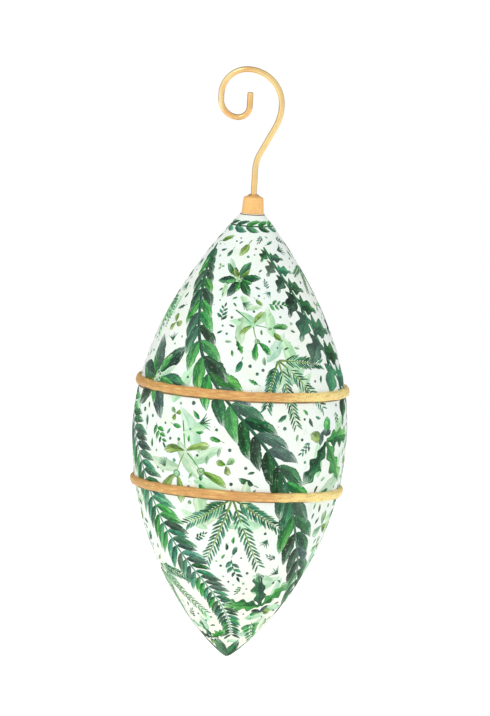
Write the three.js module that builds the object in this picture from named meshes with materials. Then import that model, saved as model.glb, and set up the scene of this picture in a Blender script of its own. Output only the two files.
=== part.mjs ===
// A hanging Christmas bauble: a pointed, lemon-shaped hollow body in three moulded sections, two gilt bands
// over the joints, a small gilt cap on a glued-in neck, and a wire hook that swivels in the cap.
// Millimetres, +Z up. The origin is where the bauble hangs: the highest point of the inside of its hook.
// The hook lies in the XZ plane, and the body's axis is vertical.
import * as THREE from "three";

// The body's outline, measured down from the seat of the cap.
const BODY_LENGTH = 150;
const BELLY_RADIUS = 36;
const BELLY_DEPTH = 74;
const UPPER_FULLNESS = 1.95; // 1 gives a straight cone, and more gives a fuller curve
const TIP_BLUNTNESS = 0.85; // 1 gives a keen point, and less gives a rounder one
const TOP_LEDGE = 0.1; // how far the body's top stands out past the cap
const SHELL_WALL = 1.6;

// The two glued joints, and what carries and covers them.
const UPPER_JOINT_DEPTH = 58;
const LOWER_JOINT_DEPTH = 91.5;
const GLUE_GAP = 0.1;
const SLEEVE_LENGTH = 10;
const SLEEVE_WALL = 1;
const BAND_WIDTH = 3.1;
const BAND_HEIGHT = 1.35;

// The wire of the hook, bent in one plane, from its stem to the end of its tail.
const WIRE_DIAMETER = 2;
const STEM_RISE = 8.1; // straight wire above the eyelet
const LOWER_BEND_RADIUS = 12.6;
const LEAN_DEGREES = 27;
const LEAN_LENGTH = 9.8;
const SHOULDER_RADIUS = 16.7;
const LOOP_RADIUS = 11.7;
const FAR_SIDE_RADIUS = 8.7;
const FAR_SIDE_LENGTH = 1.7;
const UNDERSIDE_RADIUS = 5.9;
const CURL_RADIUS = 3.8;
const TAIL_LENGTH = 4.8;

// The swivel in the cap, from the wire outwards.
const SPIN_CLEARANCE = 0.15;
const EYELET_WALL = 0.3;
const EYELET_FLANGE = 0.35;
const EYELET_FLANGE_THICKNESS = 0.35;
const WASHER_THICKNESS = 0.4;
const STOP_WALL = 0.6;
const STOP_HEIGHT = 1.6;
const STACK_GAP = 0.1; // between the pieces that are threaded on the wire
const WIRE_END = 0.3; // wire below the stop

// The neck that is glued into the body, and the cap over it.
const NECK_CLEARANCE = 0.2;
const NECK_WALL = 0.8;
const NECK_DEPTH = 6;
const NECK_FLANGE_THICKNESS = 1.4;
const CAP_WALL = 0.4;
const CAP_HEIGHT = 5.5; // from its seat to its shoulder
const CAP_CROWN = 0.4; // how far its top rises from the shoulder to the eyelet
const CAP_FLARE = 0.35; // how much wider its hem is than its shoulder
const CAP_SHOULDER_ROUND = 0.5;

const FIT_CLEARANCE = 0.15; // between pieces that are pushed together and glued

// How finely the round shapes are faceted.
const BODY_SIDES = 48;
const SMALL_SIDES = 32;
const WALL_STEPS = 12;
const BELLY_STEPS = 8;
const SLEEVE_STEPS = 4;
const BAND_STEPS = 8;
const SHOULDER_STEPS = 4;
const WIRE_SIDES = 10;
const WIRE_STEPS = 90;
const HALVINGS = 40; // of the span in a search for a depth

const PAINTED_WHITE = { color: "#f3f5ec", roughness: 0.55, metalness: 0 };
const GILT = { color: "#dfa55a", roughness: 0.4, metalness: 0.7 };
const GILT_WIRE = { color: "#f2c274", roughness: 0.3, metalness: 0.85 };
const GREY_CARD = { color: "#b9a98c", roughness: 0.9, metalness: 0 };
const STEEL = { color: "#a9abad", roughness: 0.35, metalness: 1 };

// The swivel's radii, and the neck's and cap's, each from what it goes round.
const wireRadius = WIRE_DIAMETER / 2;
const eyeletBore = wireRadius + SPIN_CLEARANCE;
const eyeletBarrel = eyeletBore + EYELET_WALL;
const eyeletFlange = eyeletBarrel + EYELET_FLANGE;
const stopBore = wireRadius + FIT_CLEARANCE;
const stopRadius = stopBore + STOP_WALL;
const neckBore = Math.max(eyeletFlange, stopRadius) + NECK_CLEARANCE;
const neckRadius = neckBore + NECK_WALL;
const capInside = neckRadius + FIT_CLEARANCE;
const capShoulder = capInside + CAP_WALL;
const capHem = capShoulder + CAP_FLARE;
const bodyTop = capHem + TOP_LEDGE;

// Heights in the swivel, above the cap's seat at height 0.
const capTop = CAP_HEIGHT + CAP_CROWN;
const capCeiling = CAP_HEIGHT - CAP_WALL;
const neckTop = capCeiling - STACK_GAP;
const eyeletTop = capTop + STACK_GAP + EYELET_FLANGE_THICKNESS;
const eyeletBottom = capCeiling - STACK_GAP - EYELET_FLANGE_THICKNESS;
const washerTop = eyeletBottom - STACK_GAP;
const washerBottom = washerTop - WASHER_THICKNESS;
const stopTop = washerBottom - STACK_GAP;
const stopBottom = stopTop - STOP_HEIGHT;
const wireBottom = stopBottom - WIRE_END;

// The numbers from first to last in equal steps.
function evenly(first, last, steps) {
  return Array.from({ length: steps + 1 }, (_, i) => first + ((last - first) * i) / steps);
}

// The same, crowded towards the last, and without it.
function crowded(first, last, steps) {
  const angles = evenly(0, Math.PI / 2, steps).slice(0, -1);
  return angles.map((angle) => first + (last - first) * Math.sin(angle));
}

// A solid of revolution about Z, from [radius, height] pairs that run up its outside and down its inside.
function turned(profile, sides) {
  const points = profile.map(([radius, height]) => new THREE.Vector2(radius, height));
  return new THREE.LatheGeometry(points, sides).rotateX(Math.PI / 2);
}

// The same, for a ring, whose section doesn't reach the axis.
function turnedRing(section, sides) {
  return turned([...section, section[0]], sides);
}

// The body's outer radius at a depth below the cap's seat, and how fast it grows with depth.
function outline(depth) {
  if (depth < BELLY_DEPTH) {
    const growth = BELLY_RADIUS - bodyTop;
    const left = 1 - depth / BELLY_DEPTH;
    const slope = (UPPER_FULLNESS * growth * left ** (UPPER_FULLNESS - 1)) / BELLY_DEPTH;
    return { radius: BELLY_RADIUS - growth * left ** UPPER_FULLNESS, slope };
  }
  const reach = BODY_LENGTH - BELLY_DEPTH;
  const share = (depth - BELLY_DEPTH) / reach;
  const rest = 1 - share ** 2;
  const slope = (-2 * share * TIP_BLUNTNESS * BELLY_RADIUS * rest ** (TIP_BLUNTNESS - 1)) / reach;
  return { radius: BELLY_RADIUS * rest ** TIP_BLUNTNESS, slope };
}

// The radius, at a depth, of a surface that lies a distance inside the outline, measured square to it.
function insetRadius(depth, inset) {
  const { radius, slope } = outline(depth);
  return radius - inset * Math.hypot(1, slope);
}

// The depth at which that surface has a given radius, between where it is wider and where it is narrower.
function depthAtRadius(wanted, inset, wider, narrower) {
  let [above, below] = [wider, narrower];
  for (let i = 0; i < HALVINGS; i++) {
    const middle = (above + below) / 2;
    if (insetRadius(middle, inset) > wanted) above = middle;
    else below = middle;
  }
  return above;
}

// A point of a section, on that surface.
function onSurface(depth, inset = 0) {
  return [insetRadius(depth, inset), -depth];
}

// An open-ended part of the body's wall, between two depths and two insets.
function wallRing(top, bottom, outerInset, innerInset, steps) {
  const outside = evenly(bottom, top, steps).map((depth) => onSurface(depth, outerInset));
  const inside = evenly(top, bottom, steps).map((depth) => onSurface(depth, innerInset));
  return turnedRing([...outside, ...inside], BODY_SIDES);
}

// The upper section, with the hole that the neck comes up through.
function upperShell() {
  const bottom = UPPER_JOINT_DEPTH - GLUE_GAP / 2;
  const hole = neckRadius + FIT_CLEARANCE;
  const ceiling = depthAtRadius(hole, SHELL_WALL, BELLY_DEPTH, 0);
  const outside = evenly(bottom, 0, WALL_STEPS).map((depth) => onSurface(depth));
  const inside = evenly(ceiling, bottom, WALL_STEPS).map((depth) => onSurface(depth, SHELL_WALL));
  return turnedRing([...outside, [hole, 0], ...inside], BODY_SIDES);
}

// The middle section, a barrel between the two joints.
function bellyShell() {
  const top = UPPER_JOINT_DEPTH + GLUE_GAP / 2;
  const bottom = LOWER_JOINT_DEPTH - GLUE_GAP / 2;
  return wallRing(top, bottom, 0, SHELL_WALL, BELLY_STEPS);
}

// The lower section, which closes to the tip.
function lowerShell() {
  const top = LOWER_JOINT_DEPTH + GLUE_GAP / 2;
  const innerTip = depthAtRadius(0, SHELL_WALL, BELLY_DEPTH, BODY_LENGTH);
  const outside = crowded(top, BODY_LENGTH, WALL_STEPS).map((depth) => onSurface(depth));
  const inside = crowded(top, innerTip, WALL_STEPS).map((depth) => onSurface(depth, SHELL_WALL));
  return turned([[0, -BODY_LENGTH], ...outside.reverse(), ...inside, [0, -innerTip]], BODY_SIDES);
}

// A sleeve inside a joint, which follows the curve of the wall.
function jointSleeve(jointDepth) {
  const half = SLEEVE_LENGTH / 2;
  const outerInset = SHELL_WALL + FIT_CLEARANCE;
  return wallRing(jointDepth - half, jointDepth + half, outerInset, outerInset + SLEEVE_WALL, SLEEVE_STEPS);
}

// A band over a joint: its back follows the body, and its face is half an ellipse.
function jointBand(jointDepth) {
  const half = BAND_WIDTH / 2;
  const face = evenly(0, Math.PI, BAND_STEPS).map((angle) => {
    const [back, height] = onSurface(jointDepth + half * Math.cos(angle), -GLUE_GAP);
    return [back + BAND_HEIGHT * Math.sin(angle), height];
  });
  return turnedRing([...face, onSurface(jointDepth, -GLUE_GAP)], BODY_SIDES);
}

// The neck: a tube up into the cap, and a flange that bears on the inside of the body's wall.
function neck() {
  const flangeTop = NECK_DEPTH - NECK_FLANGE_THICKNESS;
  const bearing = [NECK_DEPTH, flangeTop].map((depth) => onSurface(depth, SHELL_WALL + FIT_CLEARANCE));
  const tube = [[neckRadius, -flangeTop], [neckRadius, neckTop], [neckBore, neckTop]];
  return turnedRing([[neckBore, -NECK_DEPTH], ...bearing, ...tube], SMALL_SIDES);
}

// The cap: a skirt that flares to its hem, a rounded shoulder, and a crown with the eyelet's hole.
function cap() {
  const hole = eyeletBarrel + FIT_CLEARANCE;
  const skirt = [[capHem - CAP_WALL, 0], [capHem, 0]];
  const shoulder = evenly(0, Math.PI / 2, SHOULDER_STEPS).map((angle) => [
    capShoulder - CAP_SHOULDER_ROUND * (1 - Math.cos(angle)),
    CAP_HEIGHT - CAP_SHOULDER_ROUND * (1 - Math.sin(angle)),
  ]);
  const inside = [[hole, capCeiling], [capInside, capCeiling]];
  return turnedRing([...skirt, ...shoulder, [hole, capTop], ...inside], SMALL_SIDES);
}

// The eyelet: a flanged bush, clinched through the cap's top, that the wire turns in.
function stemEyelet() {
  const overCap = capTop + STACK_GAP;
  const underCap = capCeiling - STACK_GAP;
  const lowerFlange = [[eyeletBore, eyeletBottom], [eyeletFlange, eyeletBottom], [eyeletFlange, underCap]];
  const barrel = [[eyeletBarrel, underCap], [eyeletBarrel, overCap]];
  const upperFlange = [[eyeletFlange, overCap], [eyeletBarrel, eyeletTop], [eyeletBore, eyeletTop]];
  return turnedRing([...lowerFlange, ...barrel, ...upperFlange], SMALL_SIDES);
}

// A plain ring round the wire.
function wireRing(bore, radius, bottom, top) {
  return turnedRing([[bore, bottom], [radius, bottom], [radius, top], [bore, top]], SMALL_SIDES);
}

// The middle line of a bent wire in the XZ plane. Each leg has a length and the angle that it turns through,
// which is positive to the left, and the first leg sets out straight up.
class WireLine extends THREE.Curve {
  constructor(start, legs) {
    super();
    this.legs = [];
    this.length = 0;
    let from = start;
    let heading = Math.PI / 2;
    for (const leg of legs) {
      this.legs.push({ ...leg, from, heading });
      this.length += leg.length;
      from = this.pointOnLeg(this.legs.at(-1), leg.length);
      heading += leg.turn;
    }
  }

  pointOnLeg({ from, heading, length, turn }, travelled) {
    const ahead = new THREE.Vector3(Math.cos(heading), 0, Math.sin(heading));
    if (turn === 0) return from.clone().addScaledVector(ahead, travelled);
    const left = new THREE.Vector3(-ahead.z, 0, ahead.x);
    const radius = length / turn;
    const angle = travelled / radius;
    const point = from.clone().addScaledVector(ahead, radius * Math.sin(angle));
    return point.addScaledVector(left, radius * (1 - Math.cos(angle)));
  }

  getPoint(share) {
    let travelled = share * this.length;
    for (const leg of this.legs.slice(0, -1)) {
      if (travelled <= leg.length) return this.pointOnLeg(leg, travelled);
      travelled -= leg.length;
    }
    return this.pointOnLeg(this.legs.at(-1), travelled);
  }
}

function straight(length) {
  return { length, turn: 0 };
}

function bend(radius, degrees) {
  const turn = THREE.MathUtils.degToRad(degrees);
  return { length: radius * Math.abs(turn), turn };
}

const stemToCrest = [
  straight(eyeletTop - wireBottom + STEM_RISE),
  bend(LOWER_BEND_RADIUS, -LEAN_DEGREES),
  straight(LEAN_LENGTH),
  bend(SHOULDER_RADIUS, LEAN_DEGREES),
  bend(LOOP_RADIUS, 90),
];
const crestToTail = [
  bend(FAR_SIDE_RADIUS, 90),
  straight(FAR_SIDE_LENGTH),
  bend(UNDERSIDE_RADIUS, 90),
  bend(CURL_RADIUS, 90),
  straight(TAIL_LENGTH),
];
const wireStart = new THREE.Vector3(0, 0, wireBottom);

function hookWire() {
  const section = new THREE.Shape(
    evenly(0, 2 * Math.PI, WIRE_SIDES)
      .slice(0, -1)
      .map((angle) => new THREE.Vector2(wireRadius * Math.cos(angle), wireRadius * Math.sin(angle))),
  );
  const extrudePath = new WireLine(wireStart, [...stemToCrest, ...crestToTail]);
  return new THREE.ExtrudeGeometry(section, { extrudePath, steps: WIRE_STEPS, bevelEnabled: false });
}

function piece(name, geometry, finish) {
  const mesh = new THREE.Mesh(geometry, new THREE.MeshStandardMaterial(finish));
  mesh.name = name;
  return mesh;
}

// The hook and what is threaded on it, which stay still while the bauble turns.
const hook = new THREE.Group().add(
  piece("hook", hookWire(), GILT_WIRE),
  piece("stem_washer", wireRing(eyeletBore, eyeletFlange, washerBottom, washerTop), STEEL),
  piece("stem_stop", wireRing(stopBore, stopRadius, stopBottom, stopTop), STEEL),
);

// The bauble that hangs from it.
const body = new THREE.Group().add(
  piece("stem_eyelet", stemEyelet(), GILT),
  piece("cap", cap(), GILT),
  piece("neck", neck(), GREY_CARD),
  piece("upper_shell", upperShell(), PAINTED_WHITE),
  piece("upper_sleeve", jointSleeve(UPPER_JOINT_DEPTH), GREY_CARD),
  piece("upper_band", jointBand(UPPER_JOINT_DEPTH), GILT),
  piece("belly_shell", bellyShell(), PAINTED_WHITE),
  piece("lower_sleeve", jointSleeve(LOWER_JOINT_DEPTH), GREY_CARD),
  piece("lower_band", jointBand(LOWER_JOINT_DEPTH), GILT),
  piece("lower_shell", lowerShell(), PAINTED_WHITE),
);

// The crest of the hook's loop, where its wire runs level, goes over the origin.
const crest = new WireLine(wireStart, stemToCrest).getPoint(1);
const bauble = new THREE.Group().add(hook, body);
bauble.position.set(-crest.x, 0, wireRadius - crest.z);

export default bauble;
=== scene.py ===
import math
import random

import bmesh
import bpy
import numpy as np
from mathutils import Matrix, Vector


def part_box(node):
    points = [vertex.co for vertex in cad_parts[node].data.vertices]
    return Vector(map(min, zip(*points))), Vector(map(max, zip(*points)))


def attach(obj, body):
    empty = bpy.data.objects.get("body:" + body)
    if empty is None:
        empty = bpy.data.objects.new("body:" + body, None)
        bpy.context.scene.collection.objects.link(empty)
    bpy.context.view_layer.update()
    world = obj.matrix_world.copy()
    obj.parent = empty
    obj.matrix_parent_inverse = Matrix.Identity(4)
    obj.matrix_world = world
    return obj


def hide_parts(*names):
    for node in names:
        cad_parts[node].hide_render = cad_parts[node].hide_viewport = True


# The looks of a hanging Christmas bauble: a white body painted with winter foliage in greens, gilt bands
# and cap, and a bent wire hook. Metres. Depths are measured down the axis from the seat of the cap, lengths
# along the body's outline from there, and angles round the axis from the front, towards +X.
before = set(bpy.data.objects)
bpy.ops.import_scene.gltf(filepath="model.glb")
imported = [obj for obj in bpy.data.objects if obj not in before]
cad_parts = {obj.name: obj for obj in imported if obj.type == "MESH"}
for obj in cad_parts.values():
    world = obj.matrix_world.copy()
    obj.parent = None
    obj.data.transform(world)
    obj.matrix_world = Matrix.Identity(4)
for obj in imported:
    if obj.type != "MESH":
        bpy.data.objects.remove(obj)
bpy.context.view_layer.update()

# The body's outline, which the frame gives the rest of.
BELLY_RADIUS = 0.036
BELLY_DEPTH = 0.074
UPPER_FULLNESS = 1.95
TIP_BLUNTNESS = 0.85
TOP_LEDGE = 0.0001
SHELL_WALL = 0.0016
UNEVENNESS = 0.00011  # of the handmade wall


def box_size(node):
    low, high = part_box(node)
    return high - low


AXIS_X = sum(corner.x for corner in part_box("cap")) / 2
SEAT_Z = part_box("cap")[0].z
CAP_RADIUS = box_size("cap").x / 2
TOP_RADIUS = CAP_RADIUS + TOP_LEDGE
BODY_LENGTH = SEAT_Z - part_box("lower_shell")[0].z
UPPER_JOINT = SEAT_Z - (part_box("upper_shell")[0].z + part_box("belly_shell")[1].z) / 2
LOWER_JOINT = SEAT_Z - (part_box("belly_shell")[0].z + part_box("lower_shell")[1].z) / 2
GLUE_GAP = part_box("upper_shell")[0].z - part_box("belly_shell")[1].z
BAND_WIDTH = box_size("upper_band").z
BAND_HEIGHT = 0.00135


def outline(depth):
    """The body's radius at a depth."""
    left = np.clip(1 - depth / BELLY_DEPTH, 0, 1)
    below = np.maximum(depth - BELLY_DEPTH, 0) / (BODY_LENGTH - BELLY_DEPTH)
    upper = BELLY_RADIUS - (BELLY_RADIUS - TOP_RADIUS) * left**UPPER_FULLNESS
    lower = BELLY_RADIUS * np.clip(1 - below**2, 0, 1) ** TIP_BLUNTNESS
    return np.where(depth < BELLY_DEPTH, upper, lower)


# The outline as a fine polyline, which everything painted on the body is placed along.
UPPER_STEPS, LOWER_STEPS = 400, 700
DEPTHS = np.concatenate([
    np.linspace(0, BELLY_DEPTH, UPPER_STEPS, endpoint=False),
    BELLY_DEPTH + (BODY_LENGTH - BELLY_DEPTH) * np.sin(np.linspace(0, math.pi / 2, LOWER_STEPS)),
])
RADII = outline(DEPTHS)
LENGTHS = np.concatenate([[0], np.cumsum(np.hypot(np.diff(DEPTHS), np.diff(RADII)))])
WALL_OUT = np.gradient(DEPTHS, LENGTHS)
WALL_UP = np.gradient(RADII, LENGTHS)
WALL_LENGTH = LENGTHS[-1]


def length_at(depth):
    return np.interp(depth, DEPTHS, LENGTHS)


def radius_at(length):
    return np.interp(length, LENGTHS, RADII)


def unevenness(angle, length):
    """How far the handmade wall stands off its true outline."""
    waves = (
        0.5 * np.sin(2 * angle + 60 * length + 0.8)
        + 0.3 * np.sin(3 * angle - 95 * length + 2.1)
        + 0.2 * np.sin(5 * angle + 150 * length + 4.0)
    )
    return UNEVENNESS * waves * radius_at(length) / BELLY_RADIUS


def round_axis(angle, radius, height):
    """Points round the bauble's axis."""
    return np.stack([AXIS_X + radius * np.sin(angle), -radius * np.cos(angle), height], axis=-1)


def on_wall(angle, length, lift=0.0):
    """Points a lift off the body's wall, square to it."""
    angle, length = np.broadcast_arrays(angle, length)
    stand = lift + unevenness(angle, length)
    reach = radius_at(length) + stand * np.interp(length, LENGTHS, WALL_OUT)
    height = SEAT_Z - np.interp(length, LENGTHS, DEPTHS) + stand * np.interp(length, LENGTHS, WALL_UP)
    return round_axis(angle, reach, height)


# Meshes

CHART = "OFBake"  # each piece's map, with a place of its own for every face


def in_scene(name, data):
    """A new object of a mesh, light or camera, in the scene."""
    made = bpy.data.objects.new(name, data)
    bpy.context.scene.collection.objects.link(made)
    return made


def add_piece(mesh, material, body="bauble", replaces=()):
    mesh.materials.append(material)
    piece = in_scene(mesh.name, mesh)
    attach(piece, body)
    if replaces:
        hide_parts(*replaces)


def make_mesh(name, points, faces, chart):
    """A smooth mesh with a map, which gives a place for each corner of each face."""
    mesh = bpy.data.meshes.new(name)
    mesh.from_pydata(points.reshape(-1, 3).tolist(), [], faces.tolist())
    layer = mesh.uv_layers.new(name=CHART)
    layer.data.foreach_set("uv", np.ascontiguousarray(chart, dtype=np.float32).ravel())
    mesh.shade_smooth()
    return mesh


def weld(mesh, flip=False):
    """Merges the points that fall together, and turns the faces outward if asked."""
    work = bmesh.new()
    work.from_mesh(mesh)
    bmesh.ops.remove_doubles(work, verts=work.verts, dist=1e-7)
    if flip:
        bmesh.ops.recalc_face_normals(work, faces=work.faces)
    work.to_mesh(mesh)
    work.free()


def grid_faces(columns, rows, ring, closed):
    """Faces between columns of points. A ring joins its last column to its first, and closed joins each
    column's last point to its first. Gives each corner's column and row too."""
    column, row = np.meshgrid(
        np.arange(columns if ring else columns - 1), np.arange(rows if closed else rows - 1), indexing="ij"
    )
    corner_column = np.stack([column, column + 1, column + 1, column], axis=-1).reshape(-1, 4)
    corner_row = np.stack([row, row, row + 1, row + 1], axis=-1).reshape(-1, 4)
    return (corner_column % columns) * rows + corner_row % rows, corner_column, corner_row


def grid_mesh(name, points, closed=True, crease=40):
    """A ring of columns of points as a mesh, sharp where it turns by more than the crease."""
    columns, rows, _ = points.shape
    faces, corner_column, corner_row = grid_faces(columns, rows, True, closed)
    steps = np.linalg.norm(np.diff(points, axis=1, append=points[:, :1]), axis=2).mean(axis=0)
    travelled = np.concatenate([[0], np.cumsum(steps)])
    chart = np.stack([corner_column / columns, travelled[corner_row] / travelled[-1]], axis=-1)
    mesh = make_mesh(name, points, faces, chart)
    weld(mesh, flip=True)
    mesh.set_sharp_from_angle(angle=math.radians(crease))
    return mesh


def around(sides):
    """Angles all the way round, from the back."""
    return np.linspace(-math.pi, math.pi, sides, endpoint=False)


def turned_points(section, sides):
    """Columns of points from the radius and height of each point of a section."""
    radius, height = np.array(section, float).T
    return round_axis(around(sides)[:, None], radius, np.broadcast_to(height, (sides, len(height))))


def arc(centre, radius, start, end, steps):
    """Points of an arc in a section, between angles in degrees."""
    angles = np.radians(np.linspace(start, end, steps + 1))
    return [(centre[0] + radius * math.cos(a), centre[1] + radius * math.sin(a)) for a in angles]


# The three sections of the body

BODY_SIDES = 192
ROW_STEP = 0.0011
INNER_ROWS = 14
WALL_TOP = 0.0002  # where the wall starts, past its top edge
TOP_BEVEL = 0.00005
CAP_HOLE_LEDGE = 0.0007  # how far the body's top closes in under the cap


def wall_rows(start, end):
    """Lengths along the wall from one to the other, about a row's step apart."""
    return np.linspace(start, end, max(2, round(abs(end - start) / ROW_STEP)))


def shell_mesh(name, outer, inner, rim=(), closed=True):
    """A section of the body: its outside from bottom to top, any rim, and its inside back down."""
    angle = around(BODY_SIDES)[:, None]
    columns = [on_wall(angle, outer[None, :])]
    if rim:
        columns.append(turned_points(rim, BODY_SIDES))
    columns.append(on_wall(angle, inner[None, :], -SHELL_WALL))
    points = np.concatenate(columns, axis=1)
    if not closed:
        points[:, 0] = points[:, 0].mean(axis=0)
        points[:, -1] = points[:, -1].mean(axis=0)
    return grid_mesh(name, points, closed=closed)


def inner_length(radius, steps, falling=False):
    """Where along the wall its inside has a radius."""
    inside = (RADII - SHELL_WALL * WALL_OUT)[steps]
    return np.interp(-radius if falling else radius, -inside if falling else inside, LENGTHS[steps])


def upper_shell():
    bottom = length_at(UPPER_JOINT - GLUE_GAP / 2)
    hole = CAP_RADIUS - CAP_HOLE_LEDGE
    ceiling = inner_length(hole, slice(0, UPPER_STEPS))
    rim = [(TOP_RADIUS - TOP_BEVEL, SEAT_Z), (hole, SEAT_Z)]
    return shell_mesh("painted_upper_shell", wall_rows(bottom, WALL_TOP),
                      np.linspace(ceiling, bottom, INNER_ROWS), rim)


def belly_shell():
    top, bottom = length_at(UPPER_JOINT + GLUE_GAP / 2), length_at(LOWER_JOINT - GLUE_GAP / 2)
    return shell_mesh("painted_belly_shell", wall_rows(bottom, top), np.linspace(top, bottom, INNER_ROWS))


def lower_shell():
    top = length_at(LOWER_JOINT + GLUE_GAP / 2)
    closes = inner_length(0, slice(UPPER_STEPS, None), falling=True)
    return shell_mesh("painted_lower_shell", wall_rows(WALL_LENGTH, top),
                      np.linspace(top, closes, INNER_ROWS), closed=False)


# The gilt bands

BAND_SIDES = 384
BAND_FACE_STEPS = 16
BAND_BACK_GAP = 0.0001
BAND_TILT = 0.00022  # how far the band's right side lies below the middle, and its left side above
BAND_SWAYS = (0.00009, 0.00005)  # how far it sways twice and seven times round
EDGE_WANDER = 0.07  # of the band's half width


def joint_band(name, joint):
    """A band laid by hand over a joint: it wanders a little, and its width and height vary."""
    angle = around(BAND_SIDES)[:, None]
    wander = (
        BAND_TILT * np.sin(angle)
        + BAND_SWAYS[0] * np.sin(2 * angle + joint * 50)
        + BAND_SWAYS[1] * np.sin(7 * angle + 1)
    )
    height = BAND_HEIGHT * (1 + 0.04 * np.sin(5 * angle + joint * 90))
    middle = length_at(joint) + wander
    face = np.linspace(0, math.pi, BAND_FACE_STEPS + 1)[None, :]
    edge = np.where(face < math.pi / 2, 0.0, 2.0)  # its lower edge and its upper wander each in their own way
    waves = (
        np.sin(17 * angle + 5 * edge)
        + 0.8 * np.sin(29 * angle + edge)
        + 0.5 * np.sin(43 * angle + 4 * edge)
    )
    half = BAND_WIDTH / 2 * (1 + 0.03 * np.sin(3 * angle + 2) + EDGE_WANDER * waves / 2)
    ridges = 1 + 0.02 * np.cos(9 * face + np.sin(3 * angle))
    outside = on_wall(angle, middle + half * np.cos(face),
                      BAND_BACK_GAP + height * np.sin(face) ** 0.42 * ridges)
    inside = on_wall(angle, middle + BAND_WIDTH / 2 * np.array([[-0.5, 0, 0.5]]), BAND_BACK_GAP)
    return grid_mesh(name, np.concatenate([outside, inside], axis=1), crease=60)


# The cap and its eyelet

CAP_HEIGHT = 0.0055
CAP_CROWN = 0.0004
CAP_WALL = 0.0004
CAP_FLARE = 0.00035
CAP_SIDES = 144
WIRE_RADIUS = box_size("hook").y / 2
SPIN_CLEARANCE = 0.00015
HEM_ROUND = 0.0002
INNER_HEM = 0.0008  # how far up from the seat the cap is thinner inside
SHOULDER_ROUND = 0.00075
HOLE_EDGE_WIDTH = 0.0004
HOLE_EDGE_DROP = 0.0001
HEM_FLUTES = 22
FLUTE_DEPTH = 0.00007
FLUTE_FADE = 0.0016  # how far up from the hem the flutes run out
EYELET_LEDGE = 0.00015  # how far its flanges reach over the cap's hole
EYELET_STEP = 0.00035  # from its flanges in to its barrel
EYELET_PLATE = 0.00035
EYELET_BEAD = 0.00012
EYELET_LIP = 0.00016
EYELET_RISE = 0.00005  # off the cap's crown


def cap_mesh():
    shoulder = CAP_RADIUS - CAP_FLARE
    hole = box_size("stem_eyelet").x / 2 - EYELET_LEDGE
    hem = arc((CAP_RADIUS - HEM_ROUND, SEAT_Z + HEM_ROUND), HEM_ROUND, -180, 0, 8)
    skirt = [
        (CAP_RADIUS - CAP_FLARE * share, SEAT_Z + HEM_ROUND + (CAP_HEIGHT - SHOULDER_ROUND) * share)
        for share in np.linspace(0.08, 0.92, 12)
    ]
    turn = arc((shoulder - SHOULDER_ROUND, SEAT_Z + CAP_HEIGHT - SHOULDER_ROUND), SHOULDER_ROUND, 0, 82, 8)
    crown = SEAT_Z + CAP_HEIGHT + CAP_CROWN
    ceiling = SEAT_Z + CAP_HEIGHT - CAP_WALL
    top = [(hole + HOLE_EDGE_WIDTH, crown - HOLE_EDGE_DROP / 2), (hole, crown - HOLE_EDGE_DROP)]
    inside = [
        (hole, ceiling),
        (shoulder - CAP_WALL, ceiling),
        (CAP_RADIUS - 2 * HEM_ROUND, SEAT_Z + INNER_HEM),
    ]
    points = turned_points(hem + skirt + turn + top + inside, CAP_SIDES)
    fade = np.clip(1 - (points[..., 2] - SEAT_Z) / FLUTE_FADE, 0, 1) ** 1.5
    spread = 1 + FLUTE_DEPTH / CAP_RADIUS * np.cos(HEM_FLUTES * around(CAP_SIDES))[:, None] * fade
    points[..., 0] = AXIS_X + (points[..., 0] - AXIS_X) * spread
    points[..., 1] *= spread
    return grid_mesh("gilt_cap", points, crease=50)


def eyelet_mesh():
    low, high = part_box("stem_eyelet")
    flange = (high.x - low.x) / 2
    bore = WIRE_RADIUS + SPIN_CLEARANCE
    barrel = flange - EYELET_STEP
    plate_top = low.z + EYELET_PLATE
    over = SEAT_Z + CAP_HEIGHT + CAP_CROWN + EYELET_RISE
    lower = [(bore, low.z), (flange, low.z), (flange, plate_top), (barrel, plate_top)]
    collar = [(barrel, over)] + arc((flange - EYELET_BEAD, over + EYELET_BEAD), EYELET_BEAD, -90, 70, 6)
    lip = arc((bore + EYELET_LIP, high.z - EYELET_LIP), EYELET_LIP, 60, 180, 6)
    return grid_mesh("gilt_eyelet", turned_points(lower + collar + lip, 96), crease=50)


# The hook

WIRE_SIDES = 24
WIRE_STEP = 0.00035
WIRE_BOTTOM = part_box("hook")[0].z
STEM_RISE = 0.0081  # straight wire above the eyelet
STEM_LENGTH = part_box("stem_eyelet")[1].z + STEM_RISE - WIRE_BOTTOM
TAIL_BEVEL = 0.45  # of the wire's radius
# Each leg's length or bend radius, and the degrees that it turns, to the left if positive.
LEGS = [
    (STEM_LENGTH, 0),
    (0.0126, -27),
    (0.0098, 0),
    (0.0167, 27),
    (0.0117, 90),
    (0.0087, 90),
    (0.0017, 0),
    (0.0059, 90),
    (0.0038, 90),
    (0.0048, 0),
]


def wire_line():
    """Points along the middle of the wire, and the way it heads there, in the XZ plane."""
    places, headings = [], []
    x, z, heading = AXIS_X, WIRE_BOTTOM, math.pi / 2
    for size, degrees in LEGS:
        turn = math.radians(degrees)
        length = size * abs(turn) if degrees else size
        steps = max(1, round(length / WIRE_STEP))
        for _ in range(steps):
            places.append((x, z))
            headings.append(heading)
            x += length / steps * math.cos(heading + turn / steps / 2)
            z += length / steps * math.sin(heading + turn / steps / 2)
            heading += turn / steps
    return np.array(places + [(x, z)]), np.array(headings + [heading])


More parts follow.
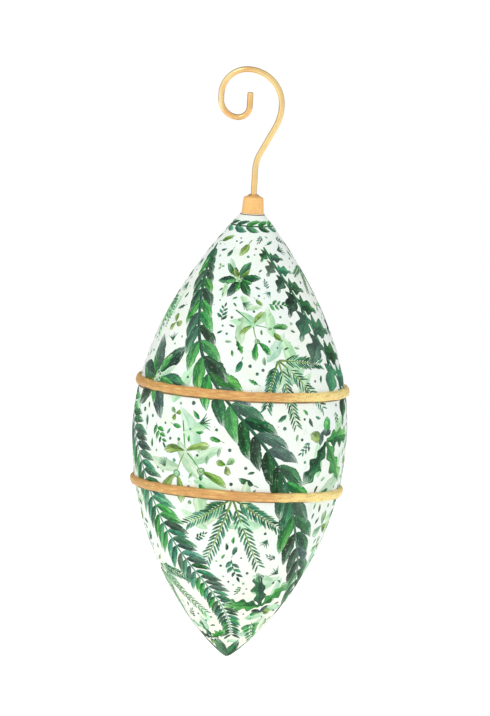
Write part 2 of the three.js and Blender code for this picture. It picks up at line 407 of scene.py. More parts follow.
def hook_mesh():
    """The wire, a little uneven in thickness, with the cut end of its tail rounded over."""
    line, heading = wire_line()
    travelled = np.arange(len(line)) * WIRE_STEP
    radius = WIRE_RADIUS * (0.985 + 0.01 * np.sin(travelled * 310) + 0.005 * np.sin(travelled * 830))
    bevel = TAIL_BEVEL * WIRE_RADIUS
    over = np.radians(np.linspace(0, 90, 6))
    ahead = np.array([math.cos(heading[-1]), math.sin(heading[-1])])
    line = np.concatenate([line[:-2], line[-1] - bevel * (1 - np.sin(over))[:, None] * ahead, line[-1:]])
    radius = np.concatenate([radius[:-2], radius[-1] - bevel * (1 - np.cos(over)), [0]])
    heading = np.concatenate([heading[:-2], np.full(len(over) + 1, heading[-1])])
    round_wire = np.linspace(0, 2 * math.pi, WIRE_SIDES, endpoint=False)[:, None]
    side = radius * np.cos(round_wire)
    across, up = line[:, 0] - side * np.sin(heading), line[:, 1] + side * np.cos(heading)
    points = np.stack([across, radius * np.sin(round_wire), up], axis=-1)
    start = points[:, :1].mean(axis=0, keepdims=True).repeat(WIRE_SIDES, axis=0)
    return grid_mesh("gilt_hook", np.concatenate([start, points], axis=1), closed=False, crease=50)


# Painted strokes. Each is a thin sheet that rises from the wall at its edges. A layer gathers the strokes
# of one kind, and cuts them at the joints of the body.

EDGE_SINK = 0.000012
STROKE_LEVELS = 5  # strokes lie at so many heights by turns, so that they don't cut into each other
STROKE_STEP = 0.000009  # from one of these heights to the next
CHART_MARGIN = 0.00025
CHART_SLACK = 1.08
JOINT_MARGIN = 0.0006  # bare wall beside each joint, which its band covers
TIP_MARGIN = 0.0003
SECTIONS = {
    "upper": (WALL_TOP, length_at(UPPER_JOINT) - JOINT_MARGIN),
    "belly": (length_at(UPPER_JOINT) + JOINT_MARGIN, length_at(LOWER_JOINT) - JOINT_MARGIN),
    "lower": (length_at(LOWER_JOINT) + JOINT_MARGIN, WALL_LENGTH - TIP_MARGIN),
}
TONES = ("dark", "mid", "light")


def linear(colour):
    """A colour of 0 to 255 in linear light."""
    share = np.asarray(colour, float) / 255
    return np.where(share <= 0.04045, share / 12.92, ((share + 0.055) / 1.055) ** 2.4)


def map_places(sizes):
    """A place in the map for each stroke by its size, in rows of like height, and the map's side."""
    area = sum((wide + CHART_MARGIN) * (high + CHART_MARGIN) for wide, high in sizes)
    side = math.sqrt(area * CHART_SLACK)
    places, x, y, row = [None] * len(sizes), 0, 0, 0
    for index in sorted(range(len(sizes)), key=lambda i: -sizes[i][1]):
        wide, high = min(sizes[index][0], side - CHART_MARGIN), sizes[index][1]
        if x + wide + CHART_MARGIN > side:
            x, y, row = 0, y + row, 0
        places[index] = (x, y, wide, high)
        x += wide + CHART_MARGIN
        row = max(row, high + CHART_MARGIN)
    return places, max(side, y + row)


class Layer:
    """The strokes of one kind, which make one mesh on each section of the body."""

    def __init__(self, name, thickness):
        self.name = name
        self.thickness = thickness
        self.strokes = []

    def add(self, angle, length, crown, along, across, paints, size, veins=0.0, ring=False):
        """A stroke from a grid of places, with how high each stands of the paint's thickness, from 0 at
        its edge to 1. Along runs from 0 to 1, and across from -1 to 1, or from 0 to 1 in a round dab."""
        tones = np.concatenate(thinned(paints))
        thick = self.thickness + len(self.strokes) % STROKE_LEVELS * STROKE_STEP
        u, v = along, (across + 1) / 2
        if ring:
            turn = along * 2 * math.pi
            u, v = 0.5 + 0.5 * across * np.cos(turn), 0.5 + 0.5 * across * np.sin(turn)
        values = dict(
            angle=angle, length=length, lift=crown * (thick + EDGE_SINK) - EDGE_SINK,
            u=u, v=v, along=along, across=across, veins=veins, seed=rng.random(),
        )
        stroke = {key: np.broadcast_to(value, angle.shape).ravel() for key, value in values.items()}
        stroke["tones"] = np.tile(tones, (angle.size, 1))
        faces, _, _ = grid_faces(*angle.shape, False, ring)
        self.strokes.append(dict(stroke, size=size, faces=faces))

    def add_pieces(self, material):
        """A piece of this layer on each section that has any of its strokes."""
        for section, (top, bottom) in SECTIONS.items():
            parts = []
            for stroke in self.strokes:
                middle = stroke["length"][stroke["faces"]].mean(axis=1)
                chosen = stroke["faces"][(middle > top) & (middle < bottom)]
                if len(chosen):
                    parts.append((stroke, chosen))
            if parts:
                mesh = self.section_mesh(f"{section}_{self.name}", parts, top, bottom)
                add_piece(mesh, material)

    def section_mesh(self, name, parts, top, bottom):
        """One mesh of the strokes on a section, with what the paint needs to know at each point."""
        keys = ("angle", "length", "lift", "along", "across", "veins", "seed", "tones")
        gathered = {key: [] for key in keys}
        faces, charts, start = [], [], 0
        places, side = map_places([stroke["size"] for stroke, _ in parts])
        for (stroke, chosen), (x, y, wide, high) in zip(parts, places):
            used, renumbered = np.unique(chosen, return_inverse=True)
            renumbered = renumbered.reshape(-1, 4)
            for key in keys:
                gathered[key].append(stroke[key][used])
            chart = np.stack([x + wide * stroke["u"][used], y + high * stroke["v"][used]], axis=-1) / side
            charts.append(chart[renumbered].reshape(-1, 2))
            faces.append(renumbered + start)
            start += len(used)
        data = {key: np.concatenate(values) for key, values in gathered.items()}
        points = on_wall(data["angle"], np.clip(data["length"], top, bottom), data["lift"])
        mesh = make_mesh(name, points, np.concatenate(faces), np.concatenate(charts))
        for index, tone in enumerate(TONES):
            layer = mesh.attributes.new(tone, "FLOAT_COLOR", "POINT")
            colour = np.ones((start, 4), np.float32)
            colour[:, :3] = data["tones"][:, 3 * index:3 * index + 3]
            layer.data.foreach_set("color", colour.ravel())
        for key in ("along", "across", "veins", "seed"):
            layer = mesh.attributes.new(key, "FLOAT", "POINT")
            layer.data.foreach_set("value", data[key].astype(np.float32))
        weld(mesh)
        return mesh


washes = Layer("washes", 0.000015)
stems = Layer("stems", 0.00003)
leaves = Layer("leaves", 0.000045)
berries = Layer("berries", 0.00006)

# Colours of the paints, each from its darkest to its lightest.
DEEP = ((12, 40, 24), (26, 86, 46), (74, 154, 82))
SPRING = ((16, 80, 32), (48, 144, 54), (126, 202, 96))
TEAL = ((20, 70, 52), (42, 124, 84), (118, 184, 142))
INK = ((20, 38, 28), (42, 72, 54), (92, 134, 104))
SAGE = ((78, 124, 80), (128, 172, 122), (188, 216, 172))
OLIVE = ((66, 94, 36), (116, 154, 58), (178, 202, 110))
# Umber paints only the thin lines of painted shade under the cap's hem and under the bands.
UMBER_SHADE = ((84, 56, 28), (128, 88, 46), (170, 128, 78))
MIST = ((150, 192, 150), (186, 216, 180), (218, 236, 208))

rng = random.Random(24)
MOST_WATER = 0.2
DRIFT = (-9, 3)  # how far a mixed colour drifts in red
GREEN_LIFT, BLUE_LIFT = 6, 4  # how much further up it does in green and blue


def thinned(paints):
    """The tones of one of the paints, mixed a little and let down with water by chance."""
    water = rng.uniform(0, MOST_WATER)
    drift = np.array([rng.uniform(DRIFT[0] + lift, DRIFT[1] + lift) for lift in (0, GREEN_LIFT, BLUE_LIFT)])
    return [linear(np.clip(np.array(tone) * (1 - water) + 255 * water + drift, 0, 255))
            for tone in rng.choice(paints)]


# What is already painted, so that later strokes find the bare places.

CELL = 0.0003
CELLS_AROUND = round(2 * math.pi * BELLY_RADIUS / CELL)
SPOT_CELLS = 2  # how many cells a painted spot reaches
END_ROOM = 0.0015  # left bare at the body's ends
LEAST_RADIUS = 0.0014  # that things are laid out round, at the tip


class Canvas:
    """The wall in small cells, a row for each step along it, with those that are painted marked."""

    def __init__(self):
        self.painted = np.zeros((round(WALL_LENGTH / CELL) + 1, CELLS_AROUND), bool)

    def rows(self, length):
        return np.clip(np.round(np.asarray(length) / CELL).astype(int), 0, len(self.painted) - 1)

    def columns(self, angle):
        return np.round(np.asarray(angle) / (2 * math.pi) * CELLS_AROUND).astype(int)

    def take(self, angle, length):
        """Marks the cells round some places as painted."""
        row, column = self.rows(length).ravel(), self.columns(angle).ravel()
        stretch = BELLY_RADIUS / np.maximum(radius_at(length), LEAST_RADIUS).ravel()
        for up in range(-SPOT_CELLS, SPOT_CELLS + 1):
            for over in range(-SPOT_CELLS, SPOT_CELLS + 1):
                beside = column + np.round(over * stretch).astype(int)
                self.painted[np.clip(row + up, 0, len(self.painted) - 1), beside % CELLS_AROUND] = True

    def is_free(self, anchor, size):
        """Whether a round patch is still bare."""
        if not size + END_ROOM < anchor[1] < WALL_LENGTH - size - END_ROOM:
            return False
        reach = size / CELL
        stretch = BELLY_RADIUS / float(radius_at(anchor[1]))
        up, over = (np.arange(-int(cells), int(cells) + 1) for cells in (reach, reach * stretch))
        near = np.hypot(up[:, None], over / stretch) <= reach
        columns = (self.columns(anchor[0]) + over) % CELLS_AROUND
        return not (self.painted[np.ix_(self.rows(anchor[1]) + up, columns)] & near).any()


canvas = Canvas()


def place(anchor, x, y):
    """Places on the wall, right and up of an anchor."""
    length = anchor[1] - y
    return anchor[0] + x / np.maximum(radius_at(length), LEAST_RADIUS), length


def offset(anchor, reach, heading):
    """The anchor that lies a reach away from another, along a heading."""
    angle, length = place(anchor, reach * math.cos(heading), reach * math.sin(heading))
    return float(angle), float(length)


# Outlines of leaves: the half width along them, of their greatest.

def swell(t, lean, thinness):
    """A plain leaf: widest in the middle at a lean of 1, and nearer its tip at more."""
    return np.sin(math.pi * t**lean) ** thinness


def blade(t):
    return swell(t, 0.85, 0.85)


def needle(t):
    return swell(t, 1, 0.45)


def paddle(t):
    return swell(t, 1.5, 0.6)


def egg(t):
    return swell(t, 1.15, 0.6)


def holly(t):
    return swell(t, 0.9, 0.6) * (0.62 + 0.38 * np.abs(np.cos(3.5 * math.pi * t)) ** 2.2)


def oak(t):
    return swell(t, 1.2, 0.5) * (0.74 + 0.26 * np.cos(2 * math.pi * 3.6 * t + 0.4))


def ivy(t):
    lobes = 0.5 + 0.62 * np.abs(np.cos(2.1 * math.pi * t)) ** 1.5
    return np.clip(t / 0.07, 0, 1) ** 0.6 * (1 - t) ** 0.75 * lobes


LEAF_STEP = 0.0009
NARROW_LEAF = 0.0014
LEAF_BACK = 0.15  # the share of its bend that a leaf starts back from its heading
TWIG_STEP = 0.0012


def ends(t, share):
    """How high a stroke stands along it, which falls to nothing over a share of it at each end."""
    return np.clip(np.minimum(t, 1 - t) / share, 0, 1)[:, None]


def bowed_line(heading, bend, reach, steps, back):
    """Shares of a line that turns through bend as it goes, and places along it."""
    t = np.linspace(0, 1, steps)
    way = heading + bend * ((t[1:] + t[:-1]) / 2 - back)
    x, y = (np.concatenate([[0], np.cumsum(go)]) * reach / (steps - 1) for go in (np.cos(way), np.sin(way)))
    return t, x, y


def leaf(anchor, heading, size, width, bend, shape, paints, veins=1.0, layer=leaves):
    """A leaf whose stalk end is at the anchor. It turns through bend as it goes."""
    lobed = shape in (holly, oak, ivy)
    steps = int(np.clip(size / LEAF_STEP, 7, 16)) * (4 if lobed else 1)
    across = np.linspace(-1, 1, 5 if width < NARROW_LEAF else 7)
    t, x, y = bowed_line(heading, bend, size, steps, LEAF_BACK)
    way = heading + bend * (t - LEAF_BACK)
    waves = t[:, None] * rng.uniform(9, 17) + across * rng.uniform(-2, 2) + rng.uniform(0, 6)
    half = width / 2 * shape(t)[:, None] * (1 + 0.09 * np.sin(waves))
    angle, length = place(anchor, x[:, None] - np.sin(way)[:, None] * half * across,
                          y[:, None] + np.cos(way)[:, None] * half * across)
    layer.add(angle, length, (1 - np.abs(across) ** 2.5) * ends(t, 0.08), t[:, None], across, paints,
              (size, width), veins)
    if layer is not washes:
        canvas.take(angle, length)


class Path:
    """A line on the wall, which a stem and its leaves are set along."""

    def __init__(self, angle, length):
        self.angle, self.length = np.asarray(angle, float), np.asarray(length, float)
        self.radius = np.maximum(radius_at(self.length), LEAST_RADIUS)
        self.go = np.gradient(self.angle) * self.radius, -np.gradient(self.length)
        self.steps = np.hypot(*self.go)
        self.travelled = np.concatenate([[0], np.cumsum((self.steps[1:] + self.steps[:-1]) / 2)])
        self.reach = self.travelled[-1]

    def at(self, travelled):
        """The anchor a way along the path, and the path's heading there."""
        angle, length, x, y = (
            float(np.interp(travelled, self.travelled, line)) for line in (self.angle, self.length, *self.go)
        )
        return (angle, length), math.atan2(y, x)

    def paint(self, width, paints, taper=0.45):
        """A stem along the path, that tapers to its end."""
        t = np.linspace(0, 1, len(self.angle))
        half = width / 2 * (1 - taper * t)
        across = np.linspace(-1, 1, 5)
        off_x = (-self.go[1] / self.steps * half)[:, None] * across
        off_y = (self.go[0] / self.steps * half)[:, None] * across
        stems.add(self.angle[:, None] + off_x / self.radius[:, None], self.length[:, None] - off_y,
                  (1 - across**2) * ends(t, 0.03), t[:, None], across, paints, (self.reach, width))
        canvas.take(self.angle, self.length)
        return self


def twig(anchor, heading, reach, bow, from_foot=False):
    """A bowed path through the anchor, or from it."""
    steps = int(np.clip(reach / TWIG_STEP, 7, 30))
    _, x, y = bowed_line(heading, bow, reach, steps, 0 if from_foot else 0.5)
    if not from_foot:
        x, y = x - x[steps // 2], y - y[steps // 2]
    return Path(*place(anchor, x, y))


def evenly(path, count, first, last=0.97):
    """Ways along a path, evenly spaced."""
    return [path.reach * share for share in np.linspace(first, last, count)]


def leafed(path, ways, size, ratio, spread, paints, taper, shape=blade, bend=0.4, by_turns=False,
           veins=1.0, local=False):
    """Leaves set along a path in pairs, or by turns, each as wide as a ratio of its size and spread by so
    many degrees. They shrink towards the path's end by the taper, and where the body narrows if local."""
    for index, way in enumerate(ways):
        foot, heading = path.at(way)
        reach = size * (1 - taper * way / path.reach) * (local_scale(foot[1]) if local else 1)
        for side in ((-1, 1)[index % 2],) if by_turns else (-1, 1):
            here = reach * rng.uniform(0.88, 1.08)
            lean = side * (math.radians(spread) + rng.uniform(-0.1, 0.1))
            leaf(foot, heading + lean, here, here * ratio, -side * bend, shape, paints, veins)


def berry(anchor, radius, paints, sides=14):
    """A round dab of paint."""
    share = np.array([0, 0.4, 0.75, 0.93, 1.0])[:, None]
    turn = np.linspace(0, 2 * math.pi, sides, endpoint=False)
    reach = radius * share * (1 + 0.06 * np.sin(3 * turn + rng.uniform(0, 6)))
    angle, length = place(anchor, reach * np.cos(turn), reach * np.sin(turn))
    berries.add(angle, length, 1 - share**2.2, turn / (2 * math.pi), share, paints,
                (2 * radius, 2 * radius), ring=True)
    canvas.take(angle, length)


# The motifs. Each fills a round patch of the given radius, in metres.

def holly_bunch(anchor, heading, size, paints):
    """Three spined leaves and three berries."""
    for turn in (-122, 0, 122):
        way = heading + math.radians(turn + rng.uniform(-8, 8))
        reach = size * rng.uniform(0.84, 0.94)
        foot = offset(anchor, 0.12 * size, way)
        leaf(foot, way, reach, reach * 0.6, rng.uniform(-0.35, 0.35), holly, paints)
    for turn in (60, 180, 300):
        berry(offset(anchor, 0.15 * size, heading + math.radians(turn)), size * 0.13, (INK,))


def fern_frond(anchor, heading, size, paints):
    """A bowed frond of paired leaflets, with a shorter one beside it."""
    bow = rng.choice((-1, 1)) * rng.uniform(0.8, 1.2)
    for side, reach in ((0.0, 1.9), (0.34, 1.25)):
        centre = offset(anchor, side * size, heading - math.copysign(math.pi / 2, bow))
        path = twig(centre, heading - side * bow * 0.3, reach * size, bow).paint(size * 0.05, paints)
        leafed(path, evenly(path, 12, 0.1), reach * size * 0.3, 0.3, 60, paints, taper=0.75, veins=0.3,
               bend=0.5)
        if rng.random() < 0.4:
            break


def mistletoe(anchor, heading, size, paints):
    """A forked twig with paired round-ended leaves and pale berries."""
    foot = offset(anchor, -0.85 * size, heading)
    path = twig(foot, heading, 0.8 * size, rng.uniform(-0.3, 0.3), True).paint(size * 0.06, paints)
    fork, way = path.at(path.reach)
    for side in (-1, 1):
        branch = twig(fork, way + side * 0.72, 0.55 * size, -side * 0.3, True).paint(size * 0.045, paints)
        end, out = branch.at(branch.reach)
        for spread in (-0.62, 0.62):
            leaf(end, out + spread, 0.66 * size, 0.22 * size, -spread, paddle, paints, 0.5)
        berry(end, size * 0.095, (SAGE,))
        leaf(fork, way + side * 1.9, 0.6 * size, 0.2 * size, -side * 0.7, paddle, paints, 0.5)


def fir_sprig(anchor, heading, size, paints):
    """Twigs with needles all along them, fanned from one foot."""
    foot = offset(anchor, -0.75 * size, heading)
    for turn, reach in ((-0.95, 1.15), (-0.34, 1.55), (0.3, 1.65), (0.92, 1.2)):
        path = twig(foot, heading + turn, reach * size, rng.uniform(-0.25, 0.25), True)
        path.paint(size * 0.06, (OLIVE,))
        leafed(path, evenly(path, 14, 0.16, 1.0), 0.32 * size, 0.2, 40, paints, taper=0.3, shape=needle,
               veins=0.0, bend=0.2)


def eucalyptus(anchor, heading, size, paints):
    """A bowed twig with round leaves that get smaller."""
    path = twig(anchor, heading, 1.95 * size, rng.choice((-1, 1)) * rng.uniform(0.7, 1.2))
    path.paint(size * 0.055, paints)
    leafed(path, evenly(path, 7, 0.08), 0.56 * size, 0.78, 62, paints, taper=0.6, shape=paddle, veins=0.5)


def acorn(anchor, heading, size):
    """A nut, and its cup painted over its foot."""
    leaf(anchor, heading, size, size * 0.62, 0, egg, (SPRING, OLIVE), 0.0)
    leaf(offset(anchor, -0.06 * size, heading), heading, size * 0.42, size * 0.8, 0, egg, (INK,), 0.0)


def oak_sprig(anchor, heading, size, paints):
    """Three lobed leaves and two acorns."""
    foot = offset(anchor, -0.45 * size, heading)
    for turn in (-1.1, 0.0, 1.1):
        reach = size * (1.25 if turn == 0 else 1.1)
        leaf(foot, heading + turn, reach, size * 0.52, rng.uniform(-0.3, 0.3), oak, paints)
    for turn in (-2.5, 2.45):
        acorn(offset(foot, 0.12 * size, heading + turn), heading + turn, size * 0.42)


def star_leaves(anchor, heading, size, paints):
    """Pointed leaves all round, a shorter and paler ring on top, and a cluster of dots."""
    for count, reach, wide, tones in ((6, 0.98, 0.46, paints), (5, 0.6, 0.32, (SPRING, OLIVE))):
        for index in range(count):
            way = heading + 2 * math.pi * (index + 0.3 * reach) / count
            foot = offset(anchor, 0.08 * size, way)
            leaf(foot, way, reach * size, wide * size, rng.uniform(-0.2, 0.2), blade, tones)
    for index in range(6):
        berry(offset(anchor, 0.09 * size, heading + index * math.pi / 3), size * 0.045, (OLIVE, INK))


def small_sprig(anchor, heading, size, paints):
    """A short twig with a few leaves by turns and an end leaf."""
    path = twig(anchor, heading, 1.5 * size, rng.uniform(-0.7, 0.7)).paint(size * 0.09, paints)
    leafed(path, evenly(path, 6, 0.1, 0.88), 0.8 * size, 0.46, 52, paints, taper=0.35, by_turns=True,
           veins=0.5)
    end, way = path.at(path.reach)
    leaf(end, way, 0.6 * size, 0.22 * size, 0, blade, paints, 0.5)


def lone_leaf(anchor, heading, size, paints):
    """One veined leaf on its stalk."""
    end = offset(anchor, -0.95 * size, heading)
    path = twig(end, heading, 0.5 * size, 0.3, True).paint(size * 0.1, paints)
    foot, way = path.at(path.reach * 0.8)
    leaf(foot, way, 1.4 * size, size * 0.62, rng.uniform(-0.5, 0.5), rng.choice((blade, egg, holly)), paints)


def grass_tuft(anchor, heading, size, paints):
    """Fine blades fanned from one foot."""
    foot = offset(anchor, -0.8 * size, heading)
    for spread in (-0.62, -0.36, -0.12, 0.14, 0.4, 0.66):
        reach = size * rng.uniform(1.2, 1.7)
        leaf(foot, heading + spread * 0.8, reach, 0.16 * size, spread, blade, paints, 0.0)


def trefoil(anchor, heading, size, paints):
    """Three round-ended leaves."""
    for turn in (-2.1, 0.0, 2.1):
        leaf(anchor, heading + turn, 0.92 * size, 0.6 * size, 0, paddle, paints, 0.6)


# The motifs by turns, each with the paints that it is painted in.
LANE_MOTIFS = [
    (holly_bunch, (DEEP, DEEP, INK)),
    (fern_frond, (SPRING, TEAL)),
    (star_leaves, (DEEP, INK)),
    (mistletoe, (OLIVE, SPRING)),
    (fir_sprig, (DEEP, TEAL)),
    (oak_sprig, (SPRING, DEEP)),
    (eucalyptus, (TEAL, SPRING)),
]
SMALL_MOTIFS = [
    (small_sprig, (SPRING, DEEP)),
    (lone_leaf, (TEAL, DEEP)),
    (trefoil, (SAGE, OLIVE)),
    (small_sprig, (TEAL, INK)),
    (lone_leaf, (SPRING, OLIVE)),
    (grass_tuft, (TEAL, INK)),
]

# The layout: garlands that wind down the body, motifs in the lanes between them, a wreath under the cap
# and leaves round the tip, then small things in what room is left.

GARLANDS = 4
GARLAND_TURN = math.radians(165)
GARLAND_FIRST = math.radians(-160)
GARLAND_SWAY = 0.07
SWAY_TURN = 15.0  # how far its sway swings on from end to end, in radians
GARLAND_TAPER = 0.12  # how much smaller its last leaves are
GARLAND_START = 0.012
GARLAND_END = WALL_LENGTH - GARLAND_START
LANE_START = 0.007
LANE_END = 0.006  # left free at a lane's foot
LARGEST_MOTIF = 0.0158  # its radius
MOTIF_SHARE = 0.48  # a motif's radius, of the body's, where the body narrows
MOTIF_SPACING = 0.98  # how far the next motif's edge starts from a motif's middle, of its radius
WREATH = 0.0050
WREATH_LEAVES = 11
WREATH_LEAN = 0.6
TIP_LEAVES = 7
RING_WIDTH = 0.0007
END_LINE = 0.0004  # how near the body's ends its first line, a painted shade under the cap's hem, and its last leaves start
UNDER_BAND = 0.00015  # from a band's lower edge to the middle of the painted shadow line under it
THROW_ROOM = 0.004  # at the body's ends
LEAST_THROWN = 0.6  # how small a thrown thing may get where the body narrows
FULL_SCALE_RADIUS = 0.033  # of the body, down to which things are painted full size
LEAST_SCALE = 0.4


def local_scale(length):
    """How much smaller things are painted where the body narrows."""
    return float(np.clip(radius_at(length) / FULL_SCALE_RADIUS, LEAST_SCALE, 1))


def spiral(turn, sway):
    """A path that winds down the body, from a turn round it."""
    share = np.linspace(0, 1, 240)
    length = GARLAND_START + (GARLAND_END - GARLAND_START) * share
    return Path(GARLAND_FIRST + turn + GARLAND_TURN * share + sway * np.sin(share * SWAY_TURN), length)


def stepped(path, gap):
    """Ways along a path, spaced by the local scale."""
    ways, way = [], gap / 2
    while way < path.reach - gap * 0.3:
        ways.append(way)
        way += gap * local_scale(path.at(way)[0][1])
    return ways


def garland(path, width, stem, gap, **looks):
    """A stem with leaves all along it, smaller where the body narrows."""
    path.paint(width, (stem,))
    leafed(path, stepped(path, gap), taper=GARLAND_TAPER, local=True, **looks)


def berries_beside(path, gap, ahead, reach, spread, radius, paints):
    """Berries along a garland, each on one side of its stem or the other."""
    for way in stepped(path, gap):
        foot, heading = path.at(way + ahead)
        beside = offset(foot, reach * local_scale(foot[1]), heading + rng.choice((-spread, spread)))
        berry(beside, radius, paints)


def fern_garland(path):
    garland(path, width=0.0013, stem=TEAL, gap=0.0032, size=0.0122, ratio=0.3, spread=58, bend=0.5,
            veins=0.3, paints=(SPRING, TEAL, DEEP, INK))


def laurel_garland(path):
    garland(path, width=0.0016, stem=DEEP, gap=0.0066, size=0.0150, ratio=0.38, spread=36, bend=0.5,
            paints=(SPRING, SPRING, DEEP, DEEP, INK))
    berries_beside(path, gap=0.013, ahead=0.002, reach=0.0042, spread=1.5, radius=0.0009, paints=(INK,))


def ivy_garland(path):
    garland(path, width=0.0012, stem=TEAL, gap=0.0058, size=0.0138, ratio=0.95, spread=58, bend=0.2,
            shape=ivy, by_turns=True, paints=(DEEP, INK, TEAL))


def olive_garland(path):
    garland(path, width=0.0012, stem=OLIVE, gap=0.0048, size=0.0135, ratio=0.23, spread=34, bend=0.5,
            veins=0.6, paints=(SAGE, OLIVE, DEEP))
    berries_beside(path, gap=0.009, ahead=0, reach=0.0052, spread=1.2, radius=0.0013, paints=(INK, DEEP))


def lane(turn, first_kind):
    """Large motifs down the middle of the lane beside a garland, one after another."""
    path = spiral(turn, 0.0)
    kind, way = first_kind, LANE_START
    while way < path.reach - LANE_END:
        size = min(MOTIF_SHARE * float(radius_at(path.at(way)[0][1])), LARGEST_MOTIF)
        way += size * MOTIF_SPACING
        anchor, heading = path.at(way)
        motif, paints = LANE_MOTIFS[kind % len(LANE_MOTIFS)]
        motif(anchor, heading + rng.choice((0, 0.5, -0.5, math.pi)), size, paints)
        ghost_leaves(anchor, size)
        kind += 1
        way += size * MOTIF_SPACING


def ghost_leaves(anchor, size):
    """Pale leaves behind a motif, from a first thin coat."""
    for _ in range(6):
        foot = offset(anchor, rng.uniform(0, 0.9) * size, rng.uniform(0, 2 * math.pi))
        reach = size * rng.uniform(0.6, 1.2)
        heading, bend = rng.uniform(0, 2 * math.pi), rng.uniform(-0.5, 0.5)
        leaf(foot, heading, reach, reach * 0.36, bend, blade, (MIST,), 0.4, washes)


def ring_of_leaves(length, count, heading, size, ratio, paints, bend):
    """Leaves all the way round the body, that point one way."""
    for index in range(count):
        foot = (2 * math.pi * (index + 0.5) / count, length)
        reach = size * rng.uniform(0.88, 1.1)
        leaf(foot, heading, reach, reach * ratio, bend, blade, paints, 0.5)


def ring_line(length, width, paint):
    """A thin line all the way round the body."""
    Path(np.linspace(-math.pi, math.pi, 160), np.full(160, length)).paint(width, (paint,), 0)


def throw(tries, sizes, paint_one, spare):
    """Things painted wherever a patch of their size, times spare, is bare."""
    for _ in range(tries):
        length = rng.uniform(THROW_ROOM, WALL_LENGTH - THROW_ROOM)
        if rng.random() > radius_at(length) / BELLY_RADIUS:
            continue
        anchor = (rng.uniform(-math.pi, math.pi), length)
        size = rng.uniform(*sizes) * max(local_scale(length), LEAST_THROWN)
        if canvas.is_free(anchor, size * spare):
            paint_one(anchor, size)


def small_motif(anchor, size):
    motif, paints = rng.choice(SMALL_MOTIFS)
    motif(anchor, rng.uniform(0, 2 * math.pi), size, paints)


def leaflet(anchor, size):
    heading, paint = rng.uniform(0, 2 * math.pi), rng.choice((DEEP, TEAL, SPRING, INK, SAGE))
    foot = offset(anchor, -size, heading)
    leaf(foot, heading, 2 * size, 0.8 * size, rng.uniform(-0.8, 0.8), blade, (paint,))


def dot(anchor, size):
    berry(anchor, size, rng.choice(((INK,), (INK,), (DEEP,), (TEAL,), (SAGE,))), 9)


# The small things, the largest first: tries, sizes, what is painted, and its room.
SMALL_THINGS = [
    (3000, (0.0058, 0.0074), small_motif, 0.74),
    (5000, (0.0040, 0.0056), small_motif, 0.74),
    (8000, (0.0026, 0.0038), small_motif, 0.76),
    (9000, (0.0012, 0.0022), leaflet, 0.86),
    (9000, (0.00045, 0.0009), dot, 1.5),
]


def paint_foliage():
    kinds = (fern_garland, laurel_garland, ivy_garland, olive_garland)
    for index, kind in enumerate(kinds):
        kind(spiral(2 * math.pi * index / GARLANDS, GARLAND_SWAY))
    # A thin umber line just under the cap's hem: painted shade where the cap meets the body.
    ring_line(END_LINE, 0.0005, UMBER_SHADE)
    ring_line(WREATH, RING_WIDTH, DEEP)
    # Thin umber lines under each band's lower edge: a painted shadow of the bands on the wall.
    for joint in (UPPER_JOINT, LOWER_JOINT):
        ring_line(length_at(joint + BAND_WIDTH / 2) + UNDER_BAND, RING_WIDTH, UMBER_SHADE)
    for side, size, paints in ((1, 0.0054, (DEEP, SPRING)), (-1, 0.0060, (DEEP, TEAL))):
        ring_of_leaves(WREATH, WREATH_LEAVES, side * WREATH_LEAN, size, 0.4, paints, -side * WREATH_LEAN)
    ring_of_leaves(WALL_LENGTH - END_LINE, TIP_LEAVES, math.pi / 2, 0.0112, 0.42, (SPRING, DEEP), 0)
    for index in range(GARLANDS):
        lane(2 * math.pi * (index + 0.5) / GARLANDS, 2 * index)
    for small_thing in SMALL_THINGS:
        throw(*small_thing)


# Materials

class Nodes:
    """A tree of nodes, made one after another."""

    def __init__(self, owner):
        owner.use_nodes = True
        self.tree = owner.node_tree

    def node(self, kind, **settings):
        made = self.tree.nodes.new(kind)
        for name, value in settings.items():
            setattr(made, name, value)
        return made

    def feed(self, socket, value):
        """Gives a socket its value: another socket, a number, a colour of 0 to 255, or a vector."""
        if isinstance(value, bpy.types.NodeSocket):
            self.tree.links.new(value, socket)
        elif socket.type == "RGBA":
            socket.default_value = (*linear(value), 1.0)
        else:
            socket.default_value = value

    def math(self, operation, *values):
        made = self.node("ShaderNodeMath", operation=operation)
        for socket, value in zip(made.inputs, values):
            self.feed(socket, value)
        return made.outputs[0]

    def product(self, a, b):
        return self.math("MULTIPLY", a, b)

    def scaled(self, value, factor, plus):
        """A value times a factor, plus another value."""
        return self.math("MULTIPLY_ADD", value, factor, plus)

    def distance(self, value, level):
        """How far a value is from a level."""
        return self.math("ABSOLUTE", self.math("SUBTRACT", value, level))

    def mix(self, share, a, b):
        made = self.node("ShaderNodeMix", data_type="RGBA")
        colours = [socket for socket in made.inputs if socket.type == "RGBA"]
        self.feed(made.inputs[0], share)
        self.feed(colours[0], a)
        self.feed(colours[1], b)
        return next(socket for socket in made.outputs if socket.type == "RGBA")

    def rise(self, value, low, high, to_low=0.0, to_high=1.0):
        """A value's smooth rise between two levels."""
        made = self.node("ShaderNodeMapRange", interpolation_type="SMOOTHSTEP")
        for socket, number in zip(made.inputs, (value, low, high, to_low, to_high)):
            self.feed(socket, number)
        return made.outputs[0]

    def coordinates(self, kind, stretch=(1, 1, 1), turn=0.0):
        """One of the texture coordinates, stretched, and turned round the Z axis."""
        made = self.node("ShaderNodeMapping")
        self.feed(made.inputs["Vector"], self.node("ShaderNodeTexCoord").outputs[kind])
        made.inputs["Scale"].default_value = stretch
        made.inputs["Rotation"].default_value = (0, 0, turn)
        return made.outputs[0]

    def part_of(self, vector, axis):
        split = self.node("ShaderNodeSeparateXYZ")
        self.feed(split.inputs[0], vector)
        return split.outputs[axis]


SEED_SCALE = 60.0  # how far apart the strokes' own places lie


